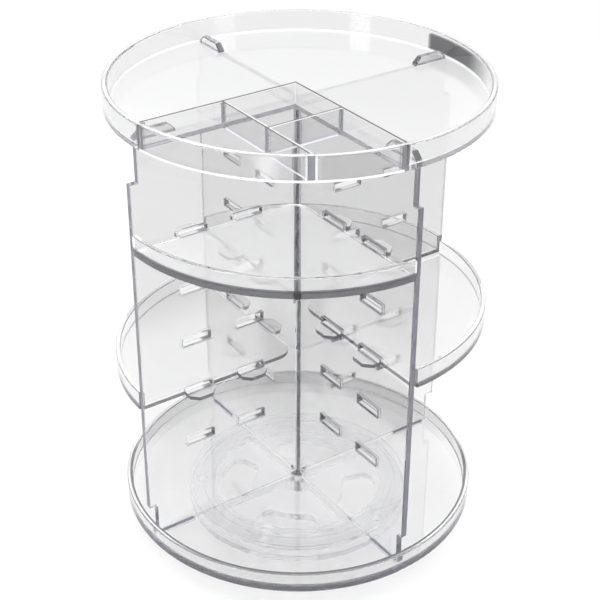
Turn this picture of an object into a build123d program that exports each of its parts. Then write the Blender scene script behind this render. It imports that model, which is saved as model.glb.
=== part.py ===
from build123d import *
import os

# Rotating makeup organizer: a clear carousel of trays that turns on a ring of balls.
# Two boards, halved into each other, stand crosswise on a round base tray. They carry four
# quarter-round shelf trays on tongues and a round top tray on tabs.
# Millimetres, +Z up. The origin is on the ground, on the turning axis. The front quadrant,
# under the open holder of the top tray, lies towards -X and -Y.

# Running and fitting clearances
shaft_clearance = 0.05
race_clearance = 0.3
seat_clearance = 0.3
slip_clearance = 0.2

# Turntable
foot_radius = 75.3
foot_thickness = 4.5
foot_edge_round = 0.8
window_inner_radius = 33.0
window_outer_radius = 55.0
window_angle = 54.0
window_round = 7.0
ball_count = 5
ball_diameter = 6.3
ball_track_radius = 67.0
groove_depth = 0.4
cage_inner_radius = 58.5
cage_outer_radius = 73.0
cage_thickness = 2.0
cage_pocket_clearance = 0.25
race_ring_inner_radius = 58.0
race_plate_thickness = 2.4
race_arm_width = 8.0
hub_radius = 9.0

# Pivot
pivot_radius = 3.0
pivot_head_radius = 5.6
pivot_head_height = 2.3
screw_head_radius = 5.4
screw_head_height = 1.7
screw_recess = 2.4
screw_shank_radius = 1.25
screw_length = 8.0
screw_drive_radius = 1.5
screw_drive_depth = 0.9

# Base tray
base_radius = 116.0
base_wall = 3.5
base_floor = 4.4
base_rim_height = 9.1
base_rim_round = 0.9

# Boards
board_thickness = 4.2
board_height = 274.1
board_rim_gap = 1.6
board_left_right_overhang = 0.2
board_front_back_setback = 0.9
board_foot_height = 21.6
board_head_gap = 0.7
board_head_height = 24.3
board_corner_round = 0.6
board_edge_bevel = 0.4
head_tab_gap = 1.7
head_tab_width = 23.8
head_tab_height = 7.0
head_tab_cut = 3.8
foot_tab_gap = 4.5
foot_tab_width = 24.0
notch_half_width = 7.0
notch_height = 3.5

# Slots for the tongues of the shelf trays, at evenly spaced levels
slot_levels = 5
first_slot_height = 60.1
slot_pitch = 36.6
slot_width = 19.4
slot_height = 5.2
slot_inner_reach = 38.1
slot_outer_reach = 76.6

# Shelf trays
shelf_setback = 1.6
shelf_wall = 3.0
shelf_height = 12.6
shelf_floor = 2.5
shelf_corner_round = 12.0
shelf_rim_round = 0.7
tongue_side_gap = 0.5
tongue_reach = 13.0
tongue_tip_cut = 4.5
shelf_levels = {"front": 4, "left": 1, "right": 2, "back": 2}

# Top tray
top_setback = 1.0
top_wall = 3.5
top_floor = 2.2
top_height = 15.5
top_rim_round = 0.9
holder_wall = 2.2
holder_offset = 9.8
holder_split_x = 58.5
holder_split_y = 54.8
holder_corner_round = 1.2

# Heights that follow from the stack, from the ground up
race_gap = ball_diameter + 2 * (race_clearance - groove_depth)
ball_height = foot_thickness + race_gap / 2
race_plate_bottom = foot_thickness + race_gap
base_bottom = race_plate_bottom + race_plate_thickness
board_bottom = base_bottom + base_floor
board_top = board_bottom + board_height
board_middle = board_bottom + board_height / 2

# Radii and widths that follow from a neighbour and a clearance
groove_radius = ball_diameter / 2 + race_clearance
pivot_bore_radius = pivot_radius + shaft_clearance
screw_bore_radius = screw_shank_radius + shaft_clearance
base_inner_radius = base_radius - base_wall
board_foot_half = base_inner_radius - board_rim_gap
board_left_right_half = base_radius + board_left_right_overhang
board_front_back_half = base_radius - board_front_back_setback
foot_tab_reach = base_inner_radius - foot_tab_gap - foot_tab_width / 2
halving_width = board_thickness + 2 * slip_clearance
top_radius = base_radius - top_setback
top_inner_radius = top_radius - top_wall
board_head_half = top_inner_radius - board_head_gap
head_tab_reach = top_inner_radius - head_tab_gap - head_tab_width / 2
shelf_radius = base_radius - shelf_setback
shelf_offset = board_thickness / 2 + seat_clearance
tongue_width = slot_width - 2 * tongue_side_gap

WINGS = 4
QUARTER = 90


# One rounded fan-shaped window, centred on the X axis
def fan_window():
    with BuildSketch() as window:
        Circle(window_outer_radius)
        Circle(window_inner_radius, mode=Mode.SUBTRACT)
        with BuildLine():
            edge_of_fan = 2 * window_outer_radius
            Polyline(
                (0, 0),
                PolarLocations(edge_of_fan, 1, -window_angle / 2).locations[0].position,
                PolarLocations(edge_of_fan, 1, window_angle / 2).locations[0].position,
                close=True,
            )
        make_face(mode=Mode.INTERSECT)
        fillet(window.vertices(), window_round)
    return window.sketch


# Foot plate: stands still, four fan windows, a ball groove on top, a recess for the screw head
window_face = fan_window()
with BuildPart() as foot_plate:
    with BuildSketch():
        Circle(foot_radius)
        with PolarLocations(0, WINGS, start_angle=QUARTER / 2):
            add(window_face, mode=Mode.SUBTRACT)
        Circle(pivot_bore_radius, mode=Mode.SUBTRACT)
    extrude(amount=foot_thickness)
    with BuildSketch():
        Circle(screw_head_radius + seat_clearance)
    extrude(amount=screw_recess, mode=Mode.SUBTRACT)
    rim = foot_plate.edges().filter_by(GeomType.CIRCLE).sort_by(SortBy.RADIUS)[-2:]
    fillet(rim, foot_edge_round)
    with Locations((0, 0, ball_height)):
        Torus(ball_track_radius, groove_radius, mode=Mode.SUBTRACT)


# Cage: a flat ring that keeps the balls apart
with BuildPart() as ball_cage:
    with BuildSketch(Plane.XY.offset(ball_height - cage_thickness / 2)):
        Circle(cage_outer_radius)
        Circle(cage_inner_radius, mode=Mode.SUBTRACT)
        with PolarLocations(ball_track_radius, ball_count):
            Circle(ball_diameter / 2 + cage_pocket_clearance, mode=Mode.SUBTRACT)
    extrude(amount=cage_thickness)


# Balls, one in each pocket of the cage
with BuildPart() as bearing_balls:
    with Locations((0, 0, ball_height)):
        with PolarLocations(ball_track_radius, ball_count):
            Sphere(ball_diameter / 2)


# Race plate: ring over the balls, four arms and the hub that the pivot passes through
with BuildPart() as race_plate:
    with BuildSketch(Plane.XY.offset(race_plate_bottom)):
        Circle(foot_radius)
        Circle(race_ring_inner_radius, mode=Mode.SUBTRACT)
        Rectangle(2 * race_ring_inner_radius, race_arm_width)
        Rectangle(race_arm_width, 2 * race_ring_inner_radius)
        Circle(hub_radius)
    extrude(amount=race_plate_thickness)
    with BuildSketch(Plane.XY.offset(foot_thickness + seat_clearance)):
        Circle(hub_radius)
    extrude(amount=race_gap - seat_clearance)
    with BuildSketch(Plane.XY.offset(foot_thickness)):
        Circle(pivot_bore_radius)
    extrude(amount=race_gap + race_plate_thickness, mode=Mode.SUBTRACT)
    with Locations((0, 0, ball_height)):
        Torus(ball_track_radius, groove_radius, mode=Mode.SUBTRACT)


# Pivot pin: domed head on the base tray's floor, shank down through the turntable
pivot_end = screw_recess - seat_clearance
dome_radius = (pivot_head_radius**2 + pivot_head_height**2) / (2 * pivot_head_height)
with BuildPart() as pivot_pin:
    with BuildSketch(Plane.XZ):
        with BuildLine():
            Line((0, board_bottom), (pivot_head_radius, board_bottom))
            RadiusArc(
                (pivot_head_radius, board_bottom),
                (0, board_bottom + pivot_head_height),
                -dome_radius,
            )
            Line((0, board_bottom + pivot_head_height), (0, board_bottom))
        make_face()
    revolve(axis=Axis.Z)
    with BuildSketch(Plane.XY.offset(pivot_end)):
        Circle(pivot_radius)
    extrude(amount=board_bottom - pivot_end)
    with BuildSketch(Plane.XY.offset(pivot_end)):
        Circle(screw_bore_radius)
    extrude(amount=screw_length + seat_clearance, mode=Mode.SUBTRACT)


# Screw that holds the foot plate on the pivot pin, with its washer head in the recess
with BuildPart() as pivot_screw:
    with BuildSketch(Plane.XY.offset(pivot_end - screw_head_height)):
        Circle(screw_head_radius)
    extrude(amount=screw_head_height)
    head_edge = pivot_screw.edges().group_by(Axis.Z)[0]
    fillet(head_edge, screw_head_height / 3)
    with BuildSketch(Plane.XY.offset(pivot_end)):
        Circle(screw_shank_radius)
    extrude(amount=screw_length)
    with BuildSketch(Plane.XY.offset(pivot_end - screw_head_height)):
        RegularPolygon(screw_drive_radius, 6)
    extrude(amount=screw_drive_depth, mode=Mode.SUBTRACT)


# Base tray: round dish, slots for the boards' feet, hole for the pivot
with BuildPart() as base_tray:
    with BuildSketch(Plane.XY.offset(base_bottom)):
        Circle(base_radius)
    extrude(amount=base_floor + base_rim_height)
    with BuildSketch(Plane.XY.offset(board_bottom)):
        Circle(base_inner_radius)
    extrude(amount=base_rim_height, mode=Mode.SUBTRACT)
    rims = base_tray.edges().filter_by(GeomType.CIRCLE)
    fillet(rims, base_rim_round)
    with BuildSketch(Plane.XY.offset(base_bottom)):
        with PolarLocations(foot_tab_reach, WINGS):
            Rectangle(foot_tab_width + 2 * slip_clearance, halving_width)
        Circle(pivot_bore_radius)
    extrude(amount=base_floor, mode=Mode.SUBTRACT)


# Tab at one end of a board's head, with its upper corners cut, that goes through the top tray
def head_tab():
    with BuildSketch() as tab:
        with Locations((head_tab_reach, board_top)):
            Rectangle(head_tab_width, head_tab_height, align=(Align.CENTER, Align.MIN))
        upper_corners = tab.vertices().group_by(Axis.Y)[-1]
        chamfer(upper_corners, head_tab_cut)
    return tab.sketch


# Outline of a board on its face: stepped sides, tabs at head and foot, tongue slots, notch over
# the pivot's head and a halving slot that runs from the middle to one end
def board_outline(face, half_width, halved_from_below):
    foot_top = board_bottom + board_foot_height
    head_bottom = board_top - board_head_height
    with BuildSketch(face) as board:
        with BuildLine():
            Polyline(
                (0, board_bottom),
                (board_foot_half, board_bottom),
                (board_foot_half, foot_top),
                (half_width, foot_top),
                (half_width, head_bottom),
                (board_head_half, head_bottom),
                (board_head_half, board_top),
                (0, board_top),
                close=True,
            )
        make_face()
        outer_corners = board.vertices().sort_by(Axis.X)[2:]
        fillet(outer_corners, board_corner_round)
        add(head_tab())
        with Locations((foot_tab_reach, board_bottom)):
            Rectangle(foot_tab_width, base_floor, align=(Align.CENTER, Align.MAX))
        for level in range(slot_levels):
            slot_bottom = board_bottom + first_slot_height + level * slot_pitch
            with Locations((slot_inner_reach, slot_bottom), (slot_outer_reach, slot_bottom)):
                Rectangle(
                    slot_width,
                    slot_height,
                    align=(Align.CENTER, Align.MIN),
                    mode=Mode.SUBTRACT,
                )
        mirror(about=Plane.YZ)
        with Locations((0, board_bottom)):
            Rectangle(
                2 * notch_half_width,
                2 * notch_height,
                mode=Mode.SUBTRACT,
            )
        halving_end = board_bottom if halved_from_below else board_top
        with Locations((0, (halving_end + board_middle) / 2)):
            Rectangle(halving_width, board_height / 2, mode=Mode.SUBTRACT)
    return board.sketch


# Board along X, from the left of the front quadrant to the back, halved from below
face_along_x = Plane.XZ.offset(-board_thickness / 2)
with BuildPart() as board_left_right:
    outline = board_outline(face_along_x, board_left_right_half, halved_from_below=True)
    extrude(outline, amount=board_thickness)
    board_faces = board_left_right.faces().sort_by(SortBy.AREA)[-2:]
    chamfer(board_faces.edges(), board_edge_bevel)


# Board along Y, crossing the first one, halved from above
face_along_y = Plane.YZ.offset(-board_thickness / 2)
with BuildPart() as board_front_back:
    outline = board_outline(face_along_y, board_front_back_half, halved_from_below=False)
    extrude(outline, amount=board_thickness)
    board_faces = board_front_back.faces().sort_by(SortBy.AREA)[-2:]
    chamfer(board_faces.edges(), board_edge_bevel)


# Shelf tray: quarter disc with a wall along its arc, open straight sides, and two tongues on
# each of them. It is drawn for the quadrant between the seat's own X and Y directions.
def shelf_tray(seat):
    arc_centre = (shelf_offset, shelf_offset)
    with BuildSketch() as tongue:
        Rectangle(
            tongue_width,
            tongue_reach + shelf_wall,
            align=(Align.CENTER, Align.MIN),
        )
        tip_corners = tongue.vertices().group_by(Axis.Y)[0]
        chamfer(tip_corners, tongue_tip_cut)
    with BuildPart() as tray:
        with BuildSketch(seat):
            with Locations(arc_centre):
                Circle(shelf_radius)
                Rectangle(
                    shelf_radius,
                    shelf_radius,
                    align=(Align.MIN, Align.MIN),
                    mode=Mode.INTERSECT,
                )
        extrude(amount=shelf_height)
        with BuildSketch(seat.offset(shelf_floor)):
            with Locations(arc_centre):
                Circle(shelf_radius - shelf_wall)
        extrude(amount=shelf_height - shelf_floor, mode=Mode.SUBTRACT)
        wall_rims = tray.edges().filter_by(GeomType.CIRCLE).group_by(Axis.Z)[-1]
        fillet(wall_rims, shelf_rim_round)
        inner_corner = tray.edges().filter_by(Axis.Z).sort_by_distance((0, 0, seat.origin.Z))
        fillet(inner_corner[0], shelf_corner_round)
        with BuildSketch(seat):
            for centre in (slot_inner_reach, slot_outer_reach):
                with Locations((centre, shelf_offset - tongue_reach)):
                    add(tongue.sketch)
                with Locations(Location((shelf_offset - tongue_reach, centre, 0), (0, 0, -QUARTER))):
                    add(tongue.sketch)
        extrude(amount=shelf_floor)
    return tray.part


# Seats of the shelf trays. The back tray shares its level with the right one, so its tongues
# lie on top of the right tray's in the slots between them.
def shelf_seat(turn, level, lift=0.0):
    height = board_bottom + first_slot_height + level * slot_pitch + lift
    return Plane(Location((0, 0, height), (0, 0, turn)))


shelf_trays = {
    "shelf_tray_front": shelf_tray(shelf_seat(2 * QUARTER, shelf_levels["front"])),
    "shelf_tray_left": shelf_tray(shelf_seat(QUARTER, shelf_levels["left"])),
    "shelf_tray_right": shelf_tray(shelf_seat(-QUARTER, shelf_levels["right"])),
    "shelf_tray_back": shelf_tray(shelf_seat(0, shelf_levels["back"], lift=shelf_floor)),
}


# Top tray: round dish on the boards' heads, with an open-bottomed holder in three cells over
# the front quadrant
wall_near = -(holder_offset - holder_wall / 2)
wall_far = -(holder_offset + holder_wall / 2)
split_x_near = -(holder_split_x - holder_wall / 2)
split_x_far = -(holder_split_x + holder_wall / 2)
split_y_near = -(holder_split_y - holder_wall / 2)
split_y_far = -(holder_split_y + holder_wall / 2)


# One open cell of the holder, between two low and two high limits, inside the round wall
def holder_cell(x_low, x_high, y_low, y_high):
    with BuildSketch() as cell:
        Circle(top_inner_radius)
        with Locations((x_low, y_low)):
            Rectangle(
                x_high - x_low,
                y_high - y_low,
                align=(Align.MIN, Align.MIN),
                mode=Mode.INTERSECT,
            )
        fillet(cell.vertices(), holder_corner_round)
    return cell.sketch


cells = [
    holder_cell(-top_radius, split_x_far, -top_radius, wall_far),
    holder_cell(split_x_near, wall_far, split_y_near, wall_far),
    holder_cell(split_x_near, wall_far, -top_radius, split_y_far),
]

with BuildPart() as top_tray:
    with BuildSketch(Plane.XY.offset(board_top)):
        Circle(top_radius)
    extrude(amount=top_height)
    with BuildSketch(Plane.XY.offset(board_top + top_floor)):
        Circle(top_inner_radius)
        with Locations((wall_near, wall_near)):
            Rectangle(
                top_radius,
                top_radius,
                align=(Align.MAX, Align.MAX),
                mode=Mode.SUBTRACT,
            )
    extrude(amount=top_height - top_floor, mode=Mode.SUBTRACT)
    rims = top_tray.edges().filter_by(GeomType.CIRCLE)
    fillet(rims, top_rim_round)
    with BuildSketch(Plane.XY.offset(board_top)):
        for cell in cells:
            add(cell)
        with PolarLocations(head_tab_reach, WINGS):
            Rectangle(
                head_tab_width + 2 * seat_clearance,
                board_thickness + 2 * seat_clearance,
            )
    extrude(amount=top_height, mode=Mode.SUBTRACT)


# Each piece goes to its own file
os.makedirs("parts", exist_ok=True)

foot_plate.part.label = "foot_plate"
export_step(foot_plate.part, "parts/foot_plate.step")

ball_cage.part.label = "ball_cage"
export_step(ball_cage.part, "parts/ball_cage.step")

bearing_balls.part.label = "bearing_balls"
export_step(bearing_balls.part, "parts/bearing_balls.step")

race_plate.part.label = "race_plate"
export_step(race_plate.part, "parts/race_plate.step")

pivot_pin.part.label = "pivot_pin"
export_step(pivot_pin.part, "parts/pivot_pin.step")

pivot_screw.part.label = "pivot_screw"
export_step(pivot_screw.part, "parts/pivot_screw.step")

base_tray.part.label = "base_tray"
export_step(base_tray.part, "parts/base_tray.step")

board_left_right.part.label = "board_left_right"
export_step(board_left_right.part, "parts/board_left_right.step")

board_front_back.part.label = "board_front_back"
export_step(board_front_back.part, "parts/board_front_back.step")

for name, tray in shelf_trays.items():
    tray.label = name
    export_step(tray, f"parts/{name}.step")

top_tray.part.label = "top_tray"
export_step(top_tray.part, "parts/top_tray.step")
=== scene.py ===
import math

import bpy
from mathutils import Matrix, Vector


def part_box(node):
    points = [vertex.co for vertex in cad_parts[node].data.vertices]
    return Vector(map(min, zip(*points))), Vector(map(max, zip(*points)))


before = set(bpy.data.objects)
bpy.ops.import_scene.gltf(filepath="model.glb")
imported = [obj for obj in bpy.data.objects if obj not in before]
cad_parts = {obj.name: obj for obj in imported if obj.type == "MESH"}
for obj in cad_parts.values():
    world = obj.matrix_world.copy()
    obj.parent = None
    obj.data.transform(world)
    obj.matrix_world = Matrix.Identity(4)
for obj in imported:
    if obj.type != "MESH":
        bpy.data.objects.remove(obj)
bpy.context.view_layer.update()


def grey(level, blue=0.002):
    """A grey with a little more blue than red and green."""
    return (level, level, level + blue)


# Camera, fitted to the rims, boards and slots in the photograph
CAMERA_AZIMUTH = math.radians(-34.945)
CAMERA_ELEVATION = math.radians(30.524)
CAMERA_DISTANCE = 0.89406
CAMERA_TARGET = Vector((0.0, 0.0, 0.15402))
CAMERA_ROLL = math.radians(0.23)
FOCAL_PIXELS = 1402.49
IMAGE_SIZE = 600.0
PRINCIPAL_X = 298.79
SENSOR_WIDTH = 36.0
CLIP_START = 0.05
CLIP_END = 200.0

# Room: a pale floor, a sky with its colours by height over the horizon, and tall soft boxes
WHITE = (1.0, 1.0, 1.0)
FLOOR_HALF = 60.0
FLOOR_COLOR = (0.93, 0.93, 0.93)
FLOOR_ROUGHNESS = 0.8
SKY = ((0.0, grey(0.3, 0.02)), (0.5, WHITE))
SKY_STRENGTH = 1.1
STRIP_DISTANCE = 1.3
STRIP_HEIGHT = 0.75
STRIP_WIDTH = 0.3
STRIP_LENGTH = 1.2

# Bounces that light needs to pass the many clear walls
CLEAR_BOUNCES = 96
SHADOW_BOUNCES = 32

# Masks say where a tint or film lies. Below, a limit comes with the width over which its mask fades, and a
# band has two limits before that width. Where the width is left out, the mask ends sharply.
SHARP = 0.0001

# How square to an axis faces are, by the size of that part of their normal
SQUARE_FROM = 0.9
LEVEL_FADE = 0.05
SIDE_FADE = 0.1
UPRIGHT = (0.6, 0.2)
LEVEL_REACH = 0.0002

# Direction to the object's rear, from the quadrant with the holder
REAR_X = 0.57
REAR_Y = 0.82

# Clear plastic: loss of light in its depth, noises given by scale and detail, and the share of a lamp's
# light that each surface lets through
PLASTIC_IOR = 1.5
DEPTH_COLOR = grey(0.80, 0.02)
DEPTH_DENSITY = 12.0
TINT_NOISE = (14.0, 3.0)
HAZE_NOISE = (60.0, 4.0)
WAVE_NOISE = (18.0, 1.0)
NOISE_RANGE = (0.3, 0.7)
LEAST_HAZE = 0.3
LAMP_SHARE = 0.99

# Hairline between pieces that touch, so that light passes their faces one after the other
HAIRLINE = 0.00002

# Films paint highlights, reflections, sheen and shade. A film has a share, a colour and an index of
# refraction, which is high where the film is glossy
FILM_ROUGHNESS = 0.03
DARK_IOR = 1.4
GLOSS_IOR = 2.4
FLOOR_IOR = 3.5

# Trays: two tints, haze and waves of the plastic, painted shade on the walls, and painted highlight lines on
# two rims.
# Setbacks are distances in from a tray's outer radius. Away is the distance towards the rear, and EVERYWHERE
# is beyond it all.
TRAY_PLASTIC = (grey(0.93), grey(0.96), 0.02, 0.00002)
# Painted shade on the walls, and a second painted shade on the rear walls from REAR_WALLS_AWAY on
WALL_SHADE = grey(0.89)
REAR_WALLS_AWAY = (0.04, 0.04)
EDGE_FADE = 0.03
EVERYWHERE = 0.27
# Painted highlight along rim tops
RIM_HIGHLIGHT = (0.6, WHITE, GLOSS_IOR)
RIM_FADE = 0.0002

# Base tray
BASE_FLOOR = 0.0044
# Painted sheen: a grey veil over the base tray's floor, glossy enough for a mirror image
BASE_FLOOR_SHEEN = (0.35, grey(0.58), FLOOR_IOR)
# Painted shade on the base tray's rear walls
BASE_REAR_SHADE = grey(0.70)
# Painted shade where the floor slab's edge shows at the front
BASE_EDGE_SHADE = grey(0.28, 0.03)
BASE_EDGE_AWAY = 0.01
# Painted shade: a grey ring on the floor by the rear of the rim
BASE_RING_SHADE = grey(0.48)
BASE_RING_RADIUS = (0.112, 0.038)
BASE_RING_AWAY = (0.06, 0.03)
BASE_RIM_SETBACKS = (0.0016, 0.0009)
BASE_RIM_TOP = 0.0012
# Painted shade: dark lines on the top of the rim at the front, darkest at the inner edge
INNER_EDGE_SETBACK = 0.0019
INNER_EDGE_AWAY = (0.0, 0.03)
INNER_EDGE_SHADE = (0.75, grey(0.06, 0.005), DARK_IOR)
FRONT_EDGE_SETBACK = 0.0007
FRONT_EDGE_AWAY = (-0.100, 0.020)
FRONT_EDGE_SHADE = (0.8, grey(0.15, 0.01), DARK_IOR)
# Painted shade: grey where the boards' feet show in the base's slots
FOOT_SHADE_GREY = grey(0.30, 0.06)
FOOT_SLOTS = (0.06, 0.1115, 0.001)
FOOT_SLOT_SHADE = (0.6, FOOT_SHADE_GREY, GLOSS_IOR)

# Shelf trays: the floor's film of painted sheen keeps a margin from the boards' middle planes and leaves one
# line bare on the front tray. Its grey is lighter on the front tray and darker, as painted shade, on the
# others; each floor's edge shows as a painted dark line of shade.
SHELF_FLOOR = 0.0025
SHELF_SHEEN_SHARE = 0.5
SHELF_SHEEN_MARGIN = 0.0045
SHELF_LOOKS = {
    "front": {"sheen_and_shade_grey": 0.95, "edge_height": 0.0041, "edge_shade": grey(0.09, 0.01),
              "bare": (-0.0028, 0.0008, 0.0002)},
    "left": {"sheen_and_shade_grey": 0.57, "edge_height": SHELF_FLOOR, "edge_shade": grey(0.24, 0.03)},
    "right": {"sheen_and_shade_grey": 0.57, "edge_height": SHELF_FLOOR, "edge_shade": grey(0.24, 0.03)},
    "back": {"sheen_and_shade_grey": 0.60, "edge_height": SHELF_FLOOR, "edge_shade": grey(0.24, 0.03)},
}

# Top tray
TOP_PLASTIC = (grey(0.95), grey(0.97), 0.02, 0.00002)
TOP_FLOOR = 0.0022
# Painted sheen: a pale veil over the top tray's floor
TOP_FLOOR_SHEEN = (0.66, grey(0.79), GLOSS_IOR)
# Painted shade on the top tray's walls, darker where its floor slab's edge shows
TOP_WALL_SHADE = grey(0.86)
TOP_SLAB_SHADE = grey(0.80, 0.05)
TOP_SLAB_FADE = 0.0003
TOP_RIM_SETBACKS = (0.0025, 0.0009)

# Painted reflections, highlights and shade in the top tray's rim, by angle in degrees around the turning axis
# Painted reflection: a dark patch at the rear right of the rim
PATCH_REFLECTION = grey(0.14, 0.005)
PATCH_OVER_FLOOR = 0.0004
PATCH_UNDER_RIM = 0.0028
PATCH_FADE = 0.0004
PATCH_START = (-12.0, 18.0)
PATCH_END = (8.0, 0.6)
# Painted reflection: a dark upright streak
STREAK = (-122.7, -121.0, 0.15)
STREAK_REFLECTION = (0.85, grey(0.18, 0.03), DARK_IOR)
# Painted reflection: a grey arc
GREY_ARC = (-119.0, -100.0, 0.3)
GREY_ARC_REFLECTION = grey(0.78)
# Painted highlight: a pale arc
PALE_ARC = (-134.4, -133.0, 3.4)
PALE_ARC_HIGHLIGHT = (0.18, WHITE, GLOSS_IOR)
# Painted shade: dark bars where the holder's walls meet the rim
BARS = ((-97.2, -96.9), (-96.3, -94.8), (-174.3, -173.7), (-172.6, -172.1))
BARS_SHADE = grey(0.35, 0.03)
# Painted highlights: pale borders beside the streak and a bar
BORDERS = ((-123.3, -122.9), (-120.8, -120.2), (-94.6, -94.1))
BORDERS_HIGHLIGHT = (0.35, WHITE, GLOSS_IOR)
BAR_FADE = 0.1

# The top tray's holder, in the quadrant towards -X and -Y: its walls, and the painted highlights and shade on
# them
HOLDER_OFFSET = 0.0098
HOLDER_SPLIT_X = 0.0585
HOLDER_SPLIT_Y = 0.0548
HOLDER_SETBACK = 0.0042
HOLDER_SETBACK_FADE = 0.0005
HOLDER_OUTSIDE = (-0.0085, 0.0005)
HOLDER_INSIDE = (-0.0124, 0.0002)
# Painted shade: dark lines along the holder's wall tops
HOLDER_LINE = (-0.0100, 0.0002)
SPLIT_LINE_X = (-0.0597, -0.0586)
SPLIT_LINE_Y = (-0.0546, -0.0536)
LINE_SHADE = (0.85, grey(0.03, 0.005), DARK_IOR)
# Painted shade where the holder's walls meet
CORNER_REACH = (0.0018, 0.0004)
CORNER_SHADE = (0.75, grey(0.17, 0.02), DARK_IOR)
# Painted highlights on the lowest edges of the holder's walls and rim, and along the rim's foot over the
# floor
LOW_WALL_HEIGHT = 0.0004
LOW_RIM_HEIGHT = 0.0017
LOW_RIM_SETBACK = 0.0005
LOW_RIM_FADE = 0.0002
FOOT_LINE_HEIGHTS = (0.00005, 0.001)
FOOT_LINE_SETBACKS = (0.0050, 0.0032)
PALE_HIGHLIGHT = (0.8, WHITE, GLOSS_IOR)

# Slots in the boards: five levels, and two columns on each side of the crossing. Reach is the distance
# from the crossing, and depth the distance from the board's middle plane.
SLOT_LEVELS = 5
SLOT_MIDDLE = 0.0801
SLOT_PITCH = 0.0366
SLOT_TALL = 0.0052
SLOT_HALF = 0.0097
SLOT_REACHES = (0.0381, 0.0766)
SLOT_FRAME = 0.0011
# Painted highlight on the slots' level walls, and painted shade next to the board's faces and at one end
SLOT_HEIGHTS = (0.07, 0.24, 0.001)
SLOT_SHADE_DEPTH = (0.0013, 0.0003)
SLOT_SHADE = (grey(0.05, 0.005), DARK_IOR)
SLOT_END_HALF = 0.005
SLOT_END_FADE = 0.002
SLOT_END_SHADE = (grey(0.10, 0.01), DARK_IOR)

# Boards: each has a front half, towards -X or -Y, and a rear half, with painted light and shade by height
BOARD_PLASTIC = (grey(0.80, 0.003), WHITE, 0.015, 0.00001)
# Painted light and shade: greys by height over the boards, and darker near the crossing
BOARD_SHADING_SHARE = 0.9
GREYS_TOP = 0.31
FRONT_HALF = (0.0, 0.002)
REAR_HALF = (0.002, 0.002)
NEAR_CROSSING = (0.024, 0.010)
NEAR_CROSSING_HEIGHTS = (0.098, 0.180, 0.006)
NEAR_CROSSING_SHADE = grey(0.79)
# Painted shade along the seam at the crossing, over and under the boards' middle
BOARDS_MIDDLE = (0.1545, 0.001)
SEAM_FACE = (0.0, 0.001)
SEAM_FADE = 0.0002
SEAM_BLUE = 0.02
# Painted shade on the boards' end faces, darker on the cut faces, the halving and the front ends
ENDS_SHADE = grey(0.36, 0.04)
CUTS_REACH = (0.090, 0.001)
CUTS_SHADE = grey(0.10, 0.01)
HALVING_REACH = (0.010, 0.001)
FRONT_END = (-0.091, 0.001)
FRONT_END_SHADE = (0.6, grey(0.20, 0.025), DARK_IOR)
# Painted shade on the slanted ends of the tabs at the top
TAB_ENDS_FACING = (0.5, 0.9, 0.05)
TAB_ENDS_HEIGHT = (0.2920, 0.0005)
TAB_ENDS_SHADE = grey(0.15, 0.01)
# Painted shade on the boards' feet inside the base's slots
FEET_HEIGHT = (0.0172, 0.0002)
FEET_REACH = (0.06, 0.01)
FEET_SHADE = (0.8, FOOT_SHADE_GREY, GLOSS_IOR)

# Each board: pairs of height and grey for its two halves, which paint light and shade by height; from where
# to where the seam's painted shade reaches and its grey, over and under the boards' middle; and the shares of
# the slots' painted white highlight, dark shade and end shade films
BOARD_LOOKS = {
    "board_left_right": {
        "along": "x",
        "across": "y",
        "front": ((0.04, 1.0), (0.112, 0.88), (0.116, 0.95), (0.16, 0.93), (0.19, 0.72)),
        "rear": ((0.05, 0.88), (0.11, 0.76), (0.19, 0.71)),
        "seams": ((0.0036, 0.0056, 0.18), (0.0, 0.0032, 0.50)),
        "halving_shade": grey(0.20, 0.0),
        "frame_shade": grey(0.85, 0.01),
        "lower_frame_shade": grey(0.42, 0.02),
        "slot_shares": (0.85, 0.3, 0.8),
    },
    "board_front_back": {
        "along": "y",
        "across": "x",
        "front": ((0.05, 0.97), (0.111, 0.94), (0.118, 0.76), (0.149, 0.74), (0.152, 0.97), (0.20, 0.84)),
        "rear": ((0.03, 0.93), (0.05, 0.80), (0.08, 0.74), (0.11, 0.72), (0.16, 0.90)),
        "seams": ((0.0027, 0.0046, 0.14), (0.0, 0.0046, 0.45)),
        "halving_shade": grey(0.26, 0.0),
        "frame_shade": grey(0.08, 0.01),
        "lower_frame_shade": grey(0.08, 0.01),
        "slot_shares": (0.6, 0.8, 0.0),
    },
}

# Turntable pieces, balls and screw
TURNTABLE_GREY = 0.98
PIN_GREY = 0.45
TURNTABLE_VARIATION = 0.02
TURNTABLE_BLUE = 0.003
TURNTABLE_HAZE = 0.03
TURNTABLE_WAVE = 0.00003
BALL_COLOR = grey(0.8, 0.02)
BALL_NOISE = (400.0, 3.0, 0.1, 0.25)
STEEL_COLOR = (0.55, 0.56, 0.58)
STEEL_NOISE = (700.0, 4.0, 0.22, 0.4)


def add_camera():
    """Camera at the photograph's viewpoint, rolled a little like it."""
    data = bpy.data.cameras.new("view")
    data.sensor_width = SENSOR_WIDTH
    data.lens = FOCAL_PIXELS / IMAGE_SIZE * SENSOR_WIDTH
    data.shift_x = (IMAGE_SIZE / 2 - PRINCIPAL_X) / IMAGE_SIZE
    data.clip_start = CLIP_START
    data.clip_end = CLIP_END
    camera = bpy.data.objects.new("view", data)
    bpy.context.scene.collection.objects.link(camera)
    away = Vector((
        math.sin(CAMERA_AZIMUTH) * math.cos(CAMERA_ELEVATION),
        -math.cos(CAMERA_AZIMUTH) * math.cos(CAMERA_ELEVATION),
        math.sin(CAMERA_ELEVATION),
    ))
    camera.location = CAMERA_TARGET + away * CAMERA_DISTANCE
    turn = away.to_track_quat("Z", "Y").to_matrix().to_4x4()
    camera.matrix_world = Matrix.Translation(camera.location) @ turn @ Matrix.Rotation(CAMERA_ROLL, 4, "Z")
    bpy.context.scene.camera = camera


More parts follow.
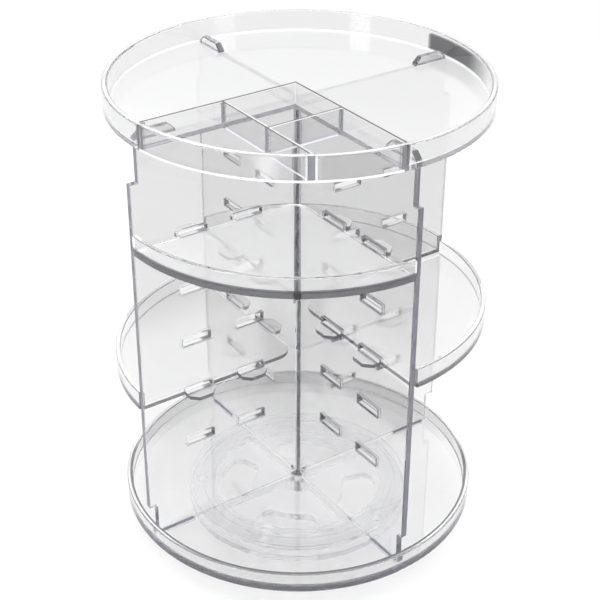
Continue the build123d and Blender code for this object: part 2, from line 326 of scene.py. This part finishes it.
class Finish:
    """A node material under construction, with masks from the object's own place and normal."""

    def __init__(self, name):
        self.material = bpy.data.materials.new(name)
        self.material.use_nodes = True
        self.nodes = self.material.node_tree.nodes
        self.links = self.material.node_tree.links
        self.shader = self.nodes["Principled BSDF"]
        self.surface = self.shader.outputs["BSDF"]
        coordinates = self.nodes.new("ShaderNodeTexCoord")
        self.place = coordinates.outputs["Object"]
        where = self.nodes.new("ShaderNodeSeparateXYZ")
        self.links.new(self.place, where.inputs["Vector"])
        facing = self.nodes.new("ShaderNodeSeparateXYZ")
        self.links.new(coordinates.outputs["Normal"], facing.inputs["Vector"])
        self.x, self.y, self.z = where.outputs
        self.axis = {"x": self.x, "y": self.y}
        self.facing = {axis: self.absolute(side) for axis, side in zip("xyz", facing.outputs)}
        self.radius = self.distance(0.0, 0.0)
        self.away = self.math("ADD", self.math("MULTIPLY", self.x, REAR_X),
                              self.math("MULTIPLY", self.y, REAR_Y))
        self.aside = self.math("SUBTRACT", self.math("MULTIPLY", self.x, REAR_Y),
                               self.math("MULTIPLY", self.y, REAR_X))

    def put(self, value, socket):
        """A socket takes a link, a number or a colour."""
        if isinstance(value, bpy.types.NodeSocket):
            self.links.new(value, socket)
        elif isinstance(value, tuple):
            socket.default_value = (*value, 1.0)
        else:
            socket.default_value = value

    def set(self, name, value):
        """The main shader's socket of that name takes a value."""
        self.put(value, self.shader.inputs[name])

    def math(self, operation, first, second=0.0):
        """The result of one sum, product or the like."""
        node = self.nodes.new("ShaderNodeMath")
        node.operation = operation
        self.put(first, node.inputs[0])
        self.put(second, node.inputs[1])
        return node.outputs["Value"]

    def absolute(self, value):
        """A value without its sign."""
        return self.math("ABSOLUTE", value)

    def distance(self, x, y):
        """Distance from an upright line through a point."""
        squares = (self.math("POWER", self.absolute(self.math("SUBTRACT", value, centre)), 2.0)
                   for value, centre in ((self.x, x), (self.y, y)))
        return self.math("SQRT", self.math("ADD", *squares))

    def ramp(self, value, start, end, low=0.0, high=1.0):
        """From low to high as a value goes from start to end."""
        node = self.nodes.new("ShaderNodeMapRange")
        self.put(value, node.inputs["Value"])
        for name, number in (("From Min", start), ("From Max", end), ("To Min", low), ("To Max", high)):
            node.inputs[name].default_value = number
        return node.outputs["Result"]

    def above(self, value, limit, fade=SHARP):
        """1 where a value is over a limit, fading below it."""
        return self.ramp(value, limit - fade, limit)

    def below(self, value, limit, fade=SHARP):
        """1 where a value is under a limit, fading above it."""
        return self.ramp(value, limit + fade, limit)

    def band(self, value, low, high, fade=SHARP):
        """1 where a value lies between two limits, fading on each side."""
        return self.all_of(self.above(value, low, fade), self.below(value, high, fade))

    def bands(self, value, limits, fade=SHARP):
        """1 where a value lies in one of several bands."""
        return self.any_of(*(self.band(value, low, high, fade) for low, high in limits))

    def all_of(self, first, *others):
        """The product of masks."""
        for other in others:
            first = self.math("MULTIPLY", first, other)
        return first

    def any_of(self, first, *others):
        """The strongest of masks."""
        for other in others:
            first = self.math("MAXIMUM", first, other)
        return first

    def outside(self, mask):
        """All that a mask leaves out."""
        return self.math("SUBTRACT", 1.0, mask)

    def square_to(self, axis, fade):
        """Faces whose normal lies along an axis."""
        return self.above(self.facing[axis], SQUARE_FROM, fade)

    def upright(self):
        """Walls, and other faces too steep for a floor."""
        return self.below(self.facing["z"], *UPRIGHT)

    def level(self, height):
        """Level faces at one height."""
        return self.all_of(self.square_to("z", LEVEL_FADE),
                           self.band(self.z, height - LEVEL_REACH, height + LEVEL_REACH))

    def noise(self, scale, detail, low, high):
        """A soft noise over the object's own coordinates, mapped to a range."""
        texture = self.nodes.new("ShaderNodeTexNoise")
        texture.inputs["Scale"].default_value = scale
        texture.inputs["Detail"].default_value = detail
        self.links.new(self.place, texture.inputs["Vector"])
        return self.ramp(texture.outputs["Fac"], *NOISE_RANGE, low, high)

    def blend(self, mask, first, second):
        """One colour where a mask is 0, another where it is 1."""
        mix = self.nodes.new("ShaderNodeMix")
        mix.data_type = "RGBA"
        self.put(mask, mix.inputs["Factor"])
        self.put(first, mix.inputs["A"])
        self.put(second, mix.inputs["B"])
        return mix.outputs["Result"]

    def by_height(self, stops):
        """A grey that follows the height above the ground, through pairs of height and grey."""
        node = self.nodes.new("ShaderNodeValToRGB")
        self.put(self.math("DIVIDE", self.z, GREYS_TOP), node.inputs["Fac"])
        steps = node.color_ramp.elements
        for index in (-1, 0):
            height, level = stops[index]
            steps[index].position = height / GREYS_TOP
            steps[index].color = (*grey(level, 0.0), 1.0)
        for height, level in stops[1:-1]:
            steps.new(height / GREYS_TOP).color = (*grey(level, 0.0), 1.0)
        return node.outputs["Color"]

    def tint(self, mask, color):
        """Painted light and shade: the plastic takes another grey where a mask says."""
        base = self.shader.inputs["Base Color"]
        self.links.new(self.blend(mask, base.links[0].from_socket, color), base)

    def layer(self, mask, shader_socket):
        """Another shader lies over the surface where a mask says."""
        mix = self.nodes.new("ShaderNodeMixShader")
        self.put(mask, mix.inputs["Fac"])
        self.links.new(self.surface, mix.inputs[1])
        self.links.new(shader_socket, mix.inputs[2])
        self.surface = mix.outputs["Shader"]

    def film(self, mask, share, color, ior):
        """A film hides a share of what lies behind it, where a mask says; films are painted highlights,
        reflections, sheen and shade.
        """
        film = self.nodes.new("ShaderNodeBsdfPrincipled")
        self.put(color, film.inputs["Base Color"])
        film.inputs["Roughness"].default_value = FILM_ROUGHNESS
        film.inputs["IOR"].default_value = ior
        self.layer(self.math("MULTIPLY", mask, share), film.outputs["BSDF"])

    def done(self, lamp_share=None):
        """Join the surface to the output; lamps pass a clear surface."""
        if lamp_share is not None:
            through = self.nodes.new("ShaderNodeBsdfTransparent")
            self.put(grey(lamp_share, 0.0), through.inputs["Color"])
            path = self.nodes.new("ShaderNodeLightPath")
            self.layer(path.outputs["Is Shadow Ray"], through.outputs["BSDF"])
        self.links.new(self.surface, self.nodes["Material Output"].inputs["Surface"])
        return self.material


def clear_plastic(name, tint_low, tint_high, haze, wave):
    """Clear moulded plastic: faint tint and haze that vary, gentle waves, and loss with depth."""
    finish = Finish(name)
    finish.set("Transmission Weight", 1.0)
    finish.set("IOR", PLASTIC_IOR)
    finish.set("Base Color", finish.blend(finish.noise(*TINT_NOISE, 0.0, 1.0), tint_low, tint_high))
    finish.set("Roughness", finish.noise(*HAZE_NOISE, haze * LEAST_HAZE, haze))
    bump = finish.nodes.new("ShaderNodeBump")
    bump.inputs["Distance"].default_value = 1.0
    finish.put(finish.noise(*WAVE_NOISE, 0.0, wave), bump.inputs["Height"])
    finish.set("Normal", bump.outputs["Normal"])
    inside = finish.nodes.new("ShaderNodeVolumeAbsorption")
    finish.put(DEPTH_COLOR, inside.inputs["Color"])
    finish.put(DEPTH_DENSITY, inside.inputs["Density"])
    finish.put(inside.outputs["Volume"], finish.nodes["Material Output"].inputs["Volume"])
    return finish


def clear_tray(name, floor, film, edge_height, edge_shade, edge_away=EVERYWHERE, rear_shade=WALL_SHADE,
               margin=0.0, bare=None):
    """Tray: floor under a glossy film of painted sheen, painted shade on the walls, and a darker line of
    painted shade where the floor's edge shows.
    """
    finish = clear_plastic(f"clear_{name}", *TRAY_PLASTIC)
    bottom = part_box(name)[0][2]
    wall = finish.upright()
    # Painted shade on the walls, and a second painted shade on the rear walls
    finish.tint(wall, WALL_SHADE)
    finish.tint(finish.all_of(wall, finish.above(finish.away, *REAR_WALLS_AWAY)), rear_shade)
    # Painted shade: a dark line where the floor slab's edge shows in the wall
    edge = finish.all_of(wall, finish.band(finish.z, bottom, bottom + edge_height),
                         finish.below(finish.away, edge_away, EDGE_FADE))
    finish.tint(edge, edge_shade)
    within = finish.all_of(*(finish.above(finish.absolute(axis), margin) for axis in (finish.x, finish.y)))
    if bare:
        within = finish.all_of(within, finish.outside(finish.band(finish.aside, *bare)))
    # Painted sheen: a film over the floor
    finish.film(finish.all_of(finish.level(bottom + floor), within), *film)
    return finish


def rim_highlight(finish, height, radius, setbacks):
    """A thin painted highlight along the top of a rim, between two setbacks from a radius."""
    inner, outer = (radius - setback for setback in setbacks)
    line = finish.all_of(finish.level(height), finish.band(finish.radius, inner, outer, RIM_FADE))
    finish.film(line, *RIM_HIGHLIGHT)


def clear_base_tray():
    """Base tray: painted shade in a grey ring on its floor, painted white highlight and dark shade lines on
    its rim, painted grey shade in the slots for the boards' feet.
    """
    finish = clear_tray("base_tray", BASE_FLOOR, BASE_FLOOR_SHEEN, BASE_FLOOR, BASE_EDGE_SHADE,
                        edge_away=BASE_EDGE_AWAY, rear_shade=BASE_REAR_SHADE)
    low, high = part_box("base_tray")
    radius = high[0]
    floor_top = low[2] + BASE_FLOOR
    # Painted shade in a grey ring on the floor's rear
    ring = finish.all_of(finish.level(floor_top), finish.above(finish.radius, *BASE_RING_RADIUS),
                         finish.above(finish.away, *BASE_RING_AWAY))
    finish.tint(ring, BASE_RING_SHADE)
    rim_highlight(finish, high[2], radius, BASE_RIM_SETBACKS)
    # Painted shade: dark lines on the rim's top at the front
    rim_top = finish.above(finish.z, high[2] - BASE_RIM_TOP)
    inner_edge = finish.all_of(rim_top, finish.below(finish.away, *INNER_EDGE_AWAY),
                               finish.below(finish.radius, radius - INNER_EDGE_SETBACK))
    finish.film(inner_edge, *INNER_EDGE_SHADE)
    front_edge = finish.all_of(rim_top, finish.below(finish.away, *FRONT_EDGE_AWAY),
                               finish.below(finish.radius, radius - FRONT_EDGE_SETBACK))
    finish.film(front_edge, *FRONT_EDGE_SHADE)
    # Painted shade in the slots for the boards' feet
    slots = finish.all_of(finish.upright(), finish.band(finish.z, 0.0, floor_top),
                          finish.band(finish.radius, *FOOT_SLOTS))
    finish.film(slots, *FOOT_SLOT_SHADE)
    return finish.done(LAMP_SHARE)


def clear_shelf(name, sheen_and_shade_grey, edge_height, edge_shade, bare=None):
    """Shelf tray: glossy film of painted sheen on its floor, and a dark lower edge of painted shade."""
    # Painted sheen, lighter on the front tray and darker, as painted shade, on the others
    film = (SHELF_SHEEN_SHARE, grey(sheen_and_shade_grey, 0.0), GLOSS_IOR)
    finish = clear_tray(name, SHELF_FLOOR, film, edge_height, edge_shade, margin=SHELF_SHEEN_MARGIN, bare=bare)
    return finish.done(LAMP_SHARE)


def paint_rim_reflections(finish, wall, around, floor_top, rim_top):
    """Painted reflections on the top tray's rim: one dark patch, and dark and light arcs; the dark bars are
    painted shade and the light arcs painted highlights.
    """
    angle = finish.math("DEGREES", finish.math("ARCTAN2", finish.y, finish.x))
    heights = finish.band(finish.z, floor_top + PATCH_OVER_FLOOR, rim_top - PATCH_UNDER_RIM, PATCH_FADE)
    patch = finish.all_of(wall, heights, finish.below(angle, *PATCH_END), finish.above(angle, *PATCH_START))
    finish.tint(patch, PATCH_REFLECTION)
    rim = finish.all_of(wall, around)
    finish.film(finish.all_of(rim, finish.band(angle, *STREAK)), *STREAK_REFLECTION)
    finish.tint(finish.all_of(rim, finish.band(angle, *GREY_ARC)), GREY_ARC_REFLECTION)
    finish.tint(finish.all_of(rim, finish.bands(angle, BARS, BAR_FADE)), BARS_SHADE)
    finish.film(finish.all_of(rim, finish.bands(angle, BORDERS, BAR_FADE)), *BORDERS_HIGHLIGHT)
    finish.film(finish.all_of(rim, finish.band(angle, *PALE_ARC)), *PALE_ARC_HIGHLIGHT)


def paint_holder_light_and_shade(finish, wall, within, rim_top, reach):
    """Painted highlights on the tops of the holder's walls with painted dark lines of shade, and painted
    shade on upright edges where walls meet.
    """
    top = finish.all_of(finish.level(rim_top), within)
    finish.film(top, *RIM_HIGHLIGHT)
    lines = finish.any_of(finish.above(finish.x, *HOLDER_LINE), finish.above(finish.y, *HOLDER_LINE),
                          finish.band(finish.x, *SPLIT_LINE_X), finish.band(finish.y, *SPLIT_LINE_Y))
    finish.film(finish.all_of(top, lines), *LINE_SHADE)
    places = ((HOLDER_SPLIT_X, HOLDER_OFFSET), (HOLDER_SPLIT_X, HOLDER_SPLIT_Y),
              (HOLDER_OFFSET, HOLDER_SPLIT_Y), (HOLDER_OFFSET, reach), (reach, HOLDER_OFFSET))
    corners = finish.any_of(*(finish.below(finish.distance(-x, -y), *CORNER_REACH) for x, y in places))
    finish.film(finish.all_of(wall, corners), *CORNER_SHADE)


def highlight_underside(finish, wall, within, bottom, radius):
    """Painted highlights on the lowest edges of the holder's walls and of the rim beside them."""
    open_side = finish.all_of(*(finish.below(axis, *HOLDER_INSIDE) for axis in (finish.x, finish.y)))
    low_walls = finish.all_of(wall, within, finish.band(finish.z, bottom, bottom + LOW_WALL_HEIGHT))
    low_rim = finish.all_of(finish.below(finish.z, bottom + LOW_RIM_HEIGHT, LOW_RIM_FADE),
                            finish.above(finish.radius, radius - LOW_RIM_SETBACK, LOW_RIM_FADE))
    finish.film(finish.all_of(open_side, finish.any_of(low_walls, low_rim)), *PALE_HIGHLIGHT)


def clear_top_tray():
    """Top tray: floor under a pale painted sheen with a painted highlight line around it, painted reflections
    in the rim, painted highlights and shade on the holder.
    """
    finish = clear_plastic("clear_top_tray", *TOP_PLASTIC)
    low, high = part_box("top_tray")
    bottom, rim_top, radius = low[2], high[2], high[0]
    floor_top = bottom + TOP_FLOOR
    reach = radius - HOLDER_SETBACK
    wall = finish.upright()
    holder = finish.all_of(*(finish.below(axis, *HOLDER_OUTSIDE) for axis in (finish.x, finish.y)))
    within = finish.all_of(holder, finish.below(finish.radius, reach, HOLDER_SETBACK_FADE))
    # Painted shade on the walls, darker where the floor slab's edge shows
    finish.tint(wall, TOP_WALL_SHADE)
    finish.tint(finish.all_of(wall, finish.band(finish.z, bottom, floor_top, TOP_SLAB_FADE)), TOP_SLAB_SHADE)
    paint_rim_reflections(finish, wall, finish.outside(within), floor_top, rim_top)
    # Painted sheen over the floor
    finish.film(finish.level(floor_top), *TOP_FLOOR_SHEEN)
    rim_highlight(finish, rim_top, radius, TOP_RIM_SETBACKS)
    paint_holder_light_and_shade(finish, wall, within, rim_top, reach)
    highlight_underside(finish, wall, within, bottom, radius)
    # Painted highlight: a pale line along the rim's foot over the floor
    heights = (floor_top + height for height in FOOT_LINE_HEIGHTS)
    radii = (radius - setback for setback in FOOT_LINE_SETBACKS)
    foot_highlight = finish.all_of(finish.band(finish.z, *heights), finish.band(finish.radius, *radii, RIM_FADE),
                              finish.outside(holder))
    finish.film(foot_highlight, *PALE_HIGHLIGHT)
    return finish.done(LAMP_SHARE)


def slot_frames(finish, reach, low, high):
    """The boards' faces close around each slot, between two heights over the slot's middle."""
    turn = finish.math("SUBTRACT", finish.z, SLOT_MIDDLE - SLOT_PITCH / 2)
    offset = finish.math("SUBTRACT", finish.math("FLOORED_MODULO", turn, SLOT_PITCH), SLOT_PITCH / 2)
    half = SLOT_HALF + SLOT_FRAME
    columns = finish.bands(reach, [(middle - half, middle + half) for middle in SLOT_REACHES])
    highest = SLOT_MIDDLE + (SLOT_LEVELS - 1) * SLOT_PITCH
    return finish.all_of(columns, finish.band(offset, low, high),
                         finish.band(finish.z, SLOT_MIDDLE - SLOT_TALL, highest + SLOT_TALL))


def shade_halves(finish, length, reach, front, rear):
    """Painted light and shade by height for a board's two halves, and painted shade near the crossing in
    front.
    """
    # Painted light and shade by height
    finish.tint(BOARD_SHADING_SHARE, finish.by_height(front))
    near_crossing = finish.all_of(finish.below(reach, *NEAR_CROSSING),
                                  finish.band(finish.z, *NEAR_CROSSING_HEIGHTS))
    finish.tint(near_crossing, NEAR_CROSSING_SHADE)
    finish.tint(finish.above(length, *REAR_HALF), finish.by_height(rear))


def shade_seam(finish, face, reach, seams):
    """Painted shade: a dark seam at the boards' crossing, over and under the boards' middle."""
    upper = finish.above(finish.z, *BOARDS_MIDDLE)
    for half, (start, end, level) in zip((upper, finish.outside(upper)), seams):
        strip = finish.all_of(face, half, finish.band(reach, start, end, SEAM_FADE))
        finish.tint(strip, grey(level, SEAM_BLUE))


def paint_slot_light_and_shade(finish, reach, depth, shares):
    """Level walls of a board's slots: a painted white highlight, painted shade next to the board's faces, and
    painted shade at one end.
    """
    white_share, dark_share, end_share = shares
    slots = finish.all_of(finish.square_to("z", LEVEL_FADE), finish.band(finish.z, *SLOT_HEIGHTS))
    finish.film(slots, white_share, WHITE, GLOSS_IOR)
    finish.film(finish.all_of(slots, finish.above(depth, *SLOT_SHADE_DEPTH)), dark_share, *SLOT_SHADE)
    ends = finish.bands(reach, [(middle - SLOT_HALF, middle - SLOT_END_HALF) for middle in SLOT_REACHES],
                        SLOT_END_FADE)
    finish.film(finish.all_of(slots, ends), end_share, *SLOT_END_SHADE)


def clear_board(name, along, across, front, rear, seams, halving_shade, frame_shade, lower_frame_shade,
                slot_shares):
    """Board: painted light and shade by height, painted shade in frames around its slots and in a dark seam,
    painted grey shade on its ends, cuts and feet.
    """
    finish = clear_plastic(f"clear_{name}", *BOARD_PLASTIC)
    length = finish.axis[along]
    reach = finish.absolute(length)
    ends = finish.square_to(along, SIDE_FADE)
    sides = finish.square_to(across, SIDE_FADE)
    front_side = finish.all_of(sides, finish.below(length, *FRONT_HALF))
    outer = SLOT_TALL / 2 + SLOT_FRAME
    shade_halves(finish, length, reach, front, rear)
    # Painted shade around the slots on the front faces, and under them
    frames = slot_frames(finish, reach, -outer, outer)
    finish.tint(finish.all_of(front_side, frames), frame_shade)
    lower_frames = slot_frames(finish, reach, -outer, -SLOT_TALL / 2)
    finish.tint(finish.all_of(front_side, lower_frames), lower_frame_shade)
    shade_seam(finish, finish.all_of(front_side, finish.below(finish.axis[across], *SEAM_FACE)), reach, seams)
    # Painted shade on end faces, cuts, halving, front ends and tab ends
    finish.tint(ends, ENDS_SHADE)
    finish.tint(finish.all_of(ends, finish.below(reach, *CUTS_REACH)), CUTS_SHADE)
    finish.tint(finish.all_of(ends, finish.below(reach, *HALVING_REACH)), halving_shade)
    finish.film(finish.all_of(ends, finish.below(length, *FRONT_END)), *FRONT_END_SHADE)
    tab_ends = finish.all_of(finish.band(finish.facing[along], *TAB_ENDS_FACING),
                             finish.above(finish.z, *TAB_ENDS_HEIGHT))
    finish.tint(tab_ends, TAB_ENDS_SHADE)
    # Painted shade on the feet
    feet = finish.all_of(sides, finish.below(finish.z, *FEET_HEIGHT), finish.above(reach, *FEET_REACH))
    finish.film(feet, *FEET_SHADE)
    paint_slot_light_and_shade(finish, reach, finish.absolute(finish.axis[across]), slot_shares)
    return finish.done(LAMP_SHARE)


def clear_turntable(name, level):
    """Turntable piece: the same plastic, hazier."""
    tints = (grey(tone, TURNTABLE_BLUE) for tone in (level - TURNTABLE_VARIATION, level))
    finish = clear_plastic(name, *tints, TURNTABLE_HAZE, TURNTABLE_WAVE)
    return finish.done(LAMP_SHARE)


def ball_plastic():
    """Balls: pale plastic, a little rough."""
    finish = Finish("ball_plastic")
    finish.set("Base Color", BALL_COLOR)
    finish.set("Roughness", finish.noise(*BALL_NOISE))
    return finish.done()


def screw_steel():
    """Screw: steel with a roughness that varies."""
    finish = Finish("screw_steel")
    finish.set("Metallic", 1.0)
    finish.set("Base Color", STEEL_COLOR)
    finish.set("Roughness", finish.noise(*STEEL_NOISE))
    return finish.done()


def dress_nodes():
    """Each CAD node takes its material, and the clear ones shrink by a hairline."""
    turntable = clear_turntable("clear_turntable", TURNTABLE_GREY)
    finishes = {
        "foot_plate": turntable,
        "ball_cage": turntable,
        "race_plate": turntable,
        "pivot_pin": clear_turntable("clear_pin", PIN_GREY),
        "bearing_balls": ball_plastic(),
        "pivot_screw": screw_steel(),
        "base_tray": clear_base_tray(),
        "top_tray": clear_top_tray(),
    }
    for name, look in BOARD_LOOKS.items():
        finishes[name] = clear_board(name, **look)
    for place, look in SHELF_LOOKS.items():
        name = f"shelf_tray_{place}"
        finishes[name] = clear_shelf(name, **look)
    for name, finish in finishes.items():
        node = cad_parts[name]
        for slot in node.material_slots:
            slot.material = finish
        if finish.name.startswith("clear"):
            gap = node.modifiers.new("hairline", "DISPLACE")
            gap.mid_level = 0.0
            gap.strength = -HAIRLINE


def add_floor():
    """Pale floor, wide enough to meet the sky far away."""
    half = FLOOR_HALF
    mesh = bpy.data.meshes.new("floor")
    corners = [(-half, -half, 0), (half, -half, 0), (half, half, 0), (-half, half, 0)]
    mesh.from_pydata(corners, [], [(0, 1, 2, 3)])
    floor = bpy.data.objects.new("floor", mesh)
    bpy.context.scene.collection.objects.link(floor)
    finish = Finish("floor")
    finish.set("Base Color", FLOOR_COLOR)
    finish.set("Roughness", FLOOR_ROUGHNESS)
    mesh.materials.append(finish.done())


def add_world():
    """Soft studio: bright above, dimmer towards the horizon."""
    world = bpy.data.worlds.new("studio")
    bpy.context.scene.world = world
    world.use_nodes = True
    nodes, links = world.node_tree.nodes, world.node_tree.links
    background = nodes["Background"]
    place = nodes.new("ShaderNodeTexCoord")
    split = nodes.new("ShaderNodeSeparateXYZ")
    links.new(place.outputs["Generated"], split.inputs["Vector"])
    ramp = nodes.new("ShaderNodeValToRGB")
    for step, (height, color) in zip(ramp.color_ramp.elements, SKY):
        step.position = height
        step.color = (*color, 1.0)
    links.new(split.outputs["Z"], ramp.inputs["Fac"])
    links.new(ramp.outputs["Color"], background.inputs["Color"])
    background.inputs["Strength"].default_value = SKY_STRENGTH


def add_strip(name, azimuth, power):
    """A tall soft box that faces the object."""
    data = bpy.data.lights.new(name, "AREA")
    data.shape = "RECTANGLE"
    data.size = STRIP_WIDTH
    data.size_y = STRIP_LENGTH
    data.energy = power
    lamp = bpy.data.objects.new(name, data)
    bpy.context.scene.collection.objects.link(lamp)
    turn = math.radians(azimuth)
    lamp.location = (math.sin(turn) * STRIP_DISTANCE, -math.cos(turn) * STRIP_DISTANCE, STRIP_HEIGHT)
    lamp.rotation_euler = (CAMERA_TARGET - lamp.location).to_track_quat("-Z", "Y").to_euler()


add_camera()
dress_nodes()
add_floor()
add_world()
add_strip("key_strip", azimuth=-75.0, power=6.0)
add_strip("fill_strip", azimuth=15.0, power=4.0)

scene = bpy.context.scene
scene.view_settings.view_transform = "Standard"
scene.cycles.max_bounces = CLEAR_BOUNCES
scene.cycles.transmission_bounces = CLEAR_BOUNCES
scene.cycles.glossy_bounces = CLEAR_BOUNCES
scene.cycles.transparent_max_bounces = SHADOW_BOUNCES
